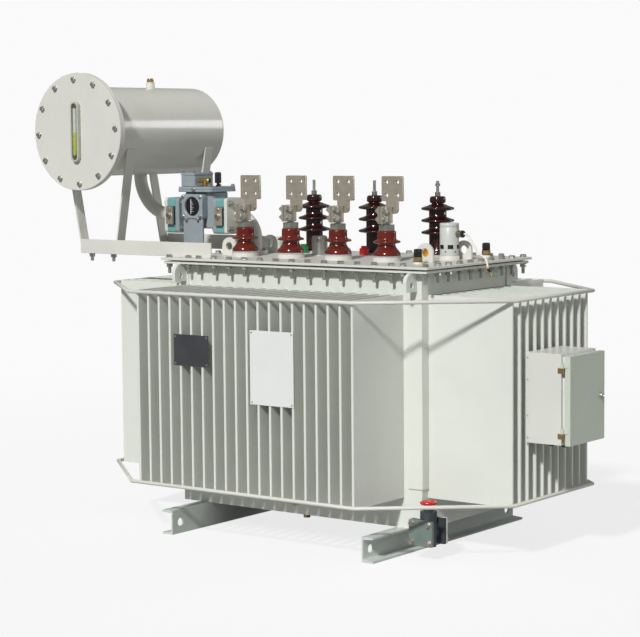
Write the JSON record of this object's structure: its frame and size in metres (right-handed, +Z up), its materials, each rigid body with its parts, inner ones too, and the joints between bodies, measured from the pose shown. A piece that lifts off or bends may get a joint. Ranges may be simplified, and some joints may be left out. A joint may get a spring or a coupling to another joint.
{
  "type": "oil-immersed power transformer with conservator",
  "caption": "Oil-immersed distribution transformer: finned tank on channels, bolted cover with bushings, gas relay line and drum conservator, control box and drain valve.",
  "frame": {"origin": "bottom centre of the whole part's box, on the ground", "axes": "+X along the tank from the conservator to the control box, +Y from the low-voltage side to the high-voltage side, +Z up"},
  "size_m": [2.0277, 1.0852, 1.52],
  "materials": {
    "black_plastic": "matt",
    "brass": "satin",
    "brown_porcelain": "gloss",
    "clip_plastic": "matt",
    "collar_grey": "satin",
    "dark_plate": "satin",
    "dark_porcelain": "gloss",
    "gasket_rubber": "matt",
    "gauge_paint": "satin",
    "gland_plastic": "matt",
    "light_grey_paint": "satin",
    "plated_steel": "satin",
    "red_paint": "gloss",
    "relay_paint": "satin",
    "relief_paint": "satin",
    "teal_paint": "satin",
    "tinned_metal": "satin",
    "valve_paint": "satin",
    "white_cable": "matt",
    "white_plate": "satin"
  },
  "bodies": {
    "transformer": {"back_wall": "light_grey_paint", "base_channels": "light_grey_paint", "bushing_collars": "collar_grey", "bushing_studs": "plated_steel", "conservator_back_end": "light_grey_paint", "conservator_cover": "light_grey_paint", "conservator_drum": "light_grey_paint", "conservator_flange": "light_grey_paint", "conservator_legs": "light_grey_paint", "conservator_pipe": "light_grey_paint", "control_box_body": "light_grey_paint", "control_box_glands": "gland_plastic", "control_box_hinges": "plated_steel", "corner_posts": "light_grey_paint", "cover_elbow": "light_grey_paint", "cover_gasket": "gasket_rubber", "cover_lifting_eyes": "light_grey_paint", "cover_plate": "light_grey_paint", "drain_blank_flange": "valve_paint", "drain_pipe": "light_grey_paint", "drain_plug": "brass", "drain_valve": "valve_paint", "earth_stud": "plated_steel", "filler_plug": "brass", "fin_rings": "light_grey_paint", "front_wall": "light_grey_paint", "gas_relay_body": "relay_paint", "gas_relay_lid": "relay_paint", "gas_relay_terminal_box": "relay_paint", "gas_relay_test_knob": "black_plastic", "hv_bushings": "dark_porcelain", "left_wall": "light_grey_paint", "lv_bushings": "brown_porcelain", "lv_terminals": "tinned_metal", "notice_plate": "white_plate", "oil_gauge": "gauge_paint", "oil_line_valves": "teal_paint", "phase_clips": "clip_plastic", "rating_plate": "dark_plate", "relief_cable": "white_cable", "relief_cable_gland": "brass", "relief_device": "relief_paint", "right_wall": "light_grey_paint", "support_beams": "light_grey_paint", "tank_floor": "light_grey_paint", "tank_lifting_eyes": "light_grey_paint", "tank_rim": "light_grey_paint", "tap_changer_cap": "plated_steel", "thermometer_bosses": "brass", "thermometer_caps": "black_plastic"},
    "door": {"control_box_door": "light_grey_paint", "control_box_lock": "plated_steel"},
    "conservator_valve_handle": {"conservator_valve_lever": "plated_steel"},
    "tank_valve_handle": {"tank_valve_lever": "plated_steel"},
    "handwheel": {"drain_handwheel": "red_paint"}
  },
  "joints": [
    {"name": "control_box_door_hinge", "type": "hinge", "parent": "transformer", "child": "door", "pos_m": [0.9814, -0.158, 0.5015], "axis": [0, 0, -1], "range_deg": [0, 110]},
    {"name": "conservator_valve_turn", "type": "hinge", "parent": "transformer", "child": "conservator_valve_handle", "pos_m": [-0.6194, -0.081, 1.029], "axis": [0, -1, 0], "range_deg": [0, 90]},
    {"name": "tank_valve_turn", "type": "hinge", "parent": "transformer", "child": "tank_valve_handle", "pos_m": [-0.4014, -0.081, 1.029], "axis": [0, -1, 0], "range_deg": [0, 90]},
    {"name": "drain_valve_turn", "type": "hinge", "parent": "transformer", "child": "handwheel", "pos_m": [0.5931, -0.2995, 0.176], "axis": [0, 0, 1], "continuous": true}
  ]
}
